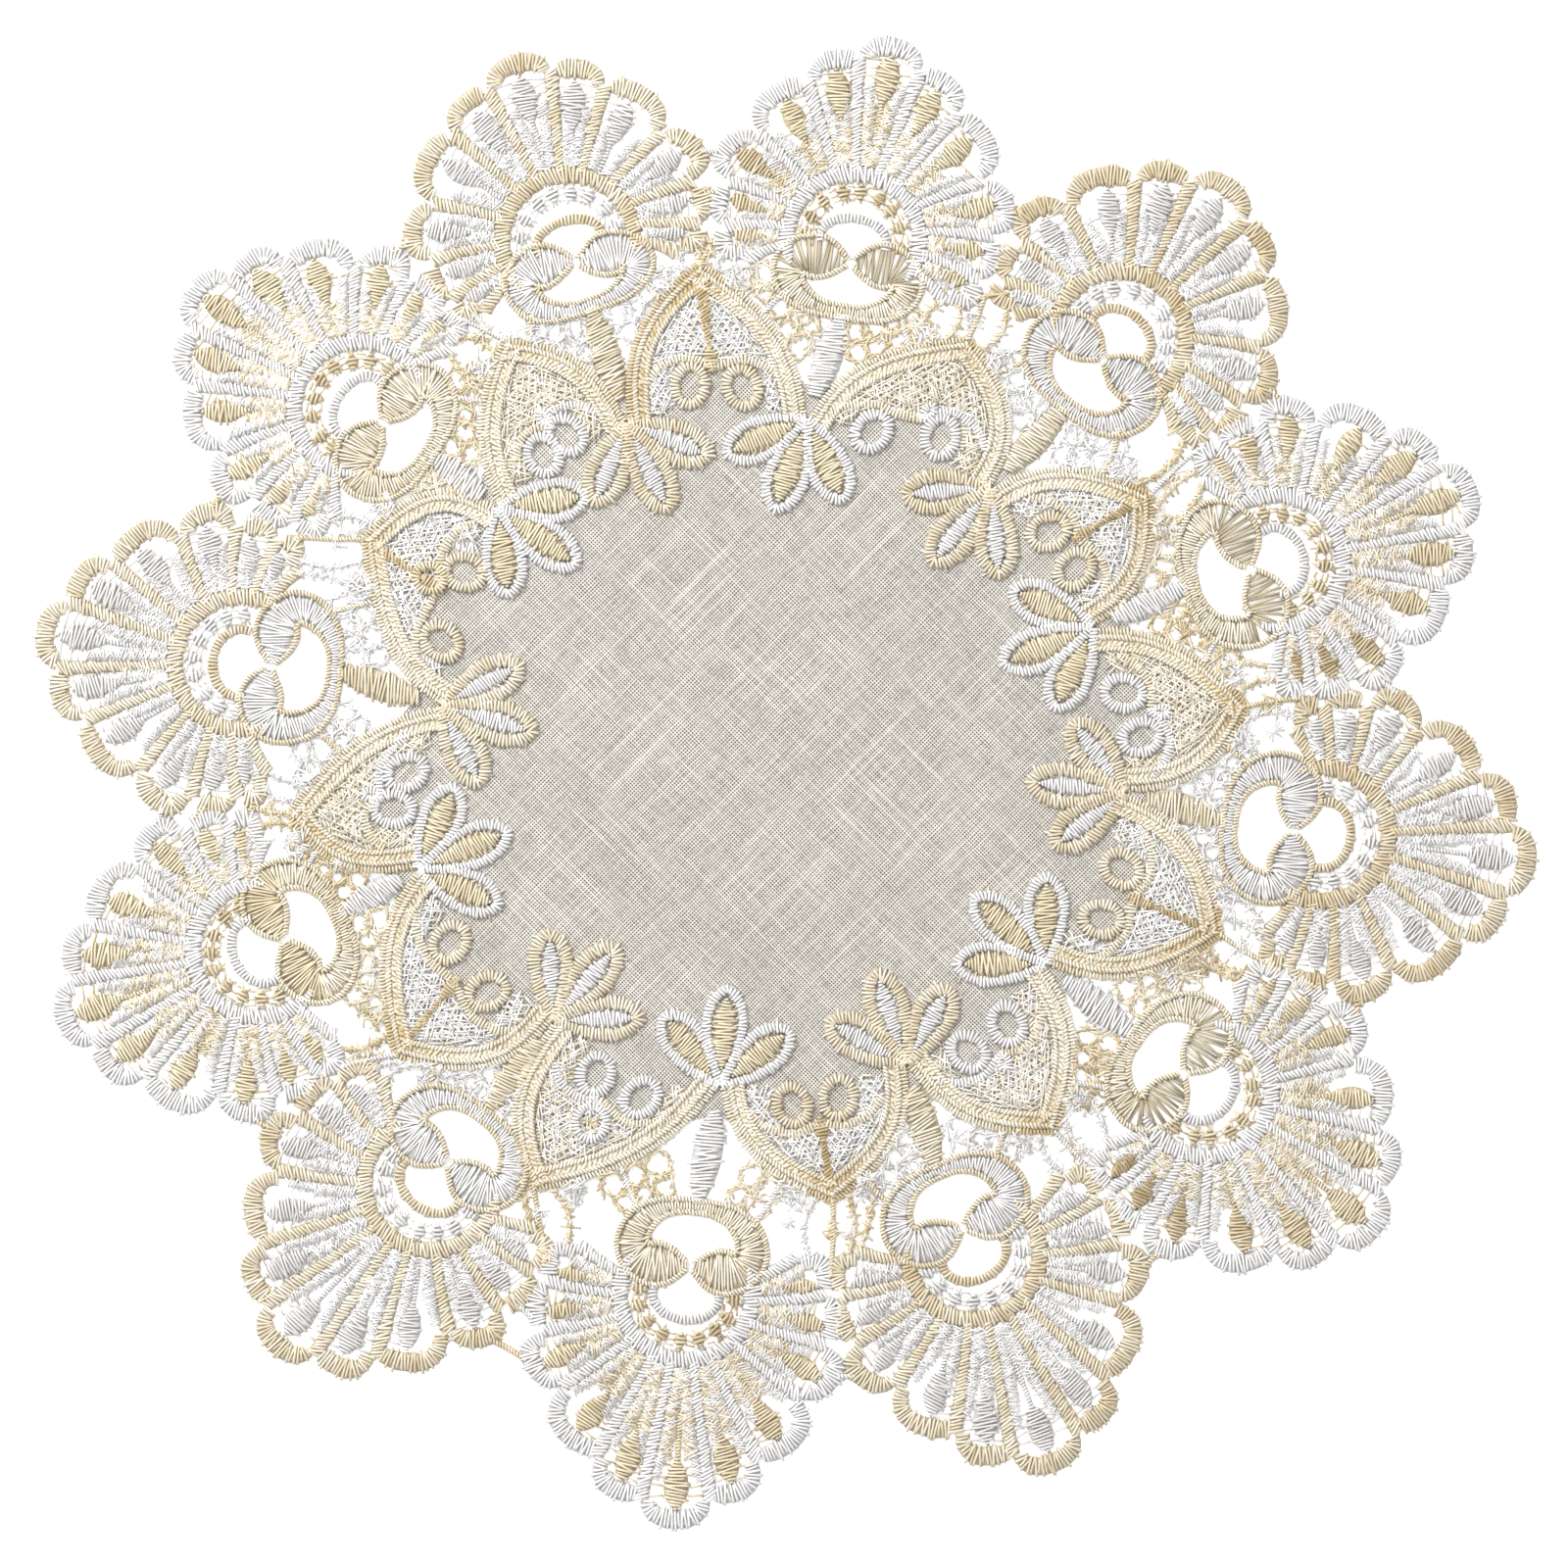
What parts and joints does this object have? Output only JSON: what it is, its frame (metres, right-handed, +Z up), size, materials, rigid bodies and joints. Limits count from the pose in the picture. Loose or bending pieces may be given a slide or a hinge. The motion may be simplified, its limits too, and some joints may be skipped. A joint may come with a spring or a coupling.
{
  "type": "lace doily",
  "caption": "Flat table doily: a round linen ground with a wide embroidered lace border of scalloped fans, pointed arches and small palmettes sewn over its cut edge.",
  "frame": {"origin": "centre of the bounding box, on the surface the doily lies on", "axes": "+Z up out of the cloth, +Y to the top of the picture, +X to its right"},
  "size_m": [0.2608, 0.2592, 0.003],
  "materials": {
    "linen": "undyed plain-weave linen, slubby, matt",
    "lace": "embroidery thread in white, cream and old gold, satin stitch with a soft sheen"
  },
  "bodies": {
    "root": {"linen_ground": "linen", "lace_border": "lace"}
  },
  "joints": []
}
